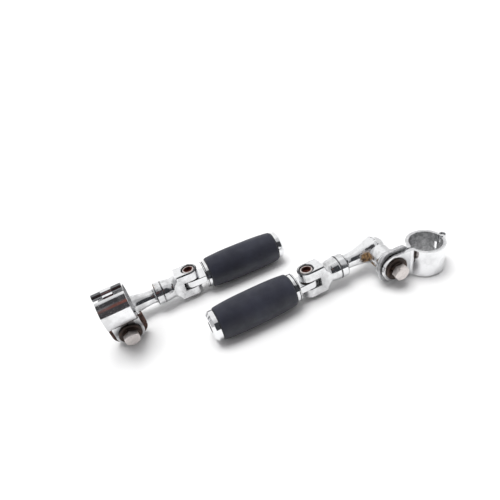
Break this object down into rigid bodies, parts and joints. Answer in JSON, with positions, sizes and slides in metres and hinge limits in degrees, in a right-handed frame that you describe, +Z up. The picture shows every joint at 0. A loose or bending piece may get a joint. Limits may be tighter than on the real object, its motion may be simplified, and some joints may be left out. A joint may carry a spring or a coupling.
{
  "type": "pair of highway pegs",
  "caption": "Pair of folding rubber-sleeved foot pegs, each on a swivelling clevis, a bent arm and a hinged strap clamp for a round tube.",
  "frame": {"origin": "centre of the pair on the floor", "axes": "+Z up, pegs along X; the front peg points to -X, the rear peg to +X"},
  "size_m": [0.3352, 0.1468, 0.0772],
  "materials": {
    "chrome": "polished",
    "rubber": "matte",
    "worn_zinc": "worn, with rust",
    "dark_steel": "dull"
  },
  "bodies": {
    "clamps": {"front_clamp_hook_half": "chrome", "front_clamp_tongue_half": "chrome", "front_clamp_bolt": "worn_zinc", "front_lock_washer": "dark_steel", "front_flat_washer": "dark_steel", "rear_clamp_hook_half": "chrome", "rear_clamp_tongue_half": "chrome", "rear_clamp_bolt": "worn_zinc", "rear_lock_washer": "dark_steel", "rear_flat_washer": "dark_steel"},
    "front_arm": {"front_offset_arm": "chrome", "front_swivel_set_screw": "dark_steel"},
    "front_clevis": {"front_clevis": "chrome", "front_pivot_screw": "worn_zinc", "front_pivot_nut": "worn_zinc"},
    "front_peg": {"front_spring_washer": "dark_steel", "front_peg_core": "chrome", "front_collar_ring": "chrome", "front_rubber_sleeve": "rubber", "front_end_cap": "chrome", "front_end_cap_screw": "worn_zinc"},
    "rear_arm": {"rear_offset_arm": "chrome", "rear_swivel_set_screw": "dark_steel"},
    "rear_clevis": {"rear_clevis": "chrome", "rear_pivot_screw": "worn_zinc", "rear_pivot_nut": "worn_zinc"},
    "rear_peg": {"rear_spring_washer": "dark_steel", "rear_peg_core": "chrome", "rear_collar_ring": "chrome", "rear_rubber_sleeve": "rubber", "rear_end_cap": "chrome", "rear_end_cap_screw": "worn_zinc"}
  },
  "joints": [
    {"name": "front_arm_swing", "type": "hinge", "parent": "clamps", "child": "front_arm", "pos_m": [0.1048, -0.05433, 0.01852], "axis": [0.0104, -0.9993, -0.0349], "range_deg": [-103.2, 96.8]},
    {"name": "front_clevis_swivel", "type": "hinge", "parent": "front_arm", "child": "front_clevis", "pos_m": [0.02788, -0.02292, 0.01885], "axis": [-0.9999, -0.01, -0.0105], "range_deg": [-90, 90]},
    {"name": "front_peg_fold", "type": "hinge", "parent": "front_clevis", "child": "front_peg", "pos_m": [0.02788, -0.02292, 0.01885], "axis": [-0.011, 0.0505, 0.9987], "range_deg": [0, 90]},
    {"name": "rear_arm_swing", "type": "hinge", "parent": "clamps", "child": "rear_arm", "pos_m": [-0.149, 0.02501, 0.01511], "axis": [-0.012, -0.9888, -0.1487], "range_deg": [-186.6, 13.4]},
    {"name": "rear_clevis_swivel", "type": "hinge", "parent": "rear_arm", "child": "rear_clevis", "pos_m": [-0.07202, 0.05608, 0.01883], "axis": [0.9999, -0.01, -0.014], "range_deg": [-90, 90]},
    {"name": "rear_peg_fold", "type": "hinge", "parent": "rear_clevis", "child": "rear_peg", "pos_m": [-0.07202, 0.05608, 0.01883], "axis": [0.0142, 0.0199, 0.9997], "range_deg": [0, 90]}
  ]
}
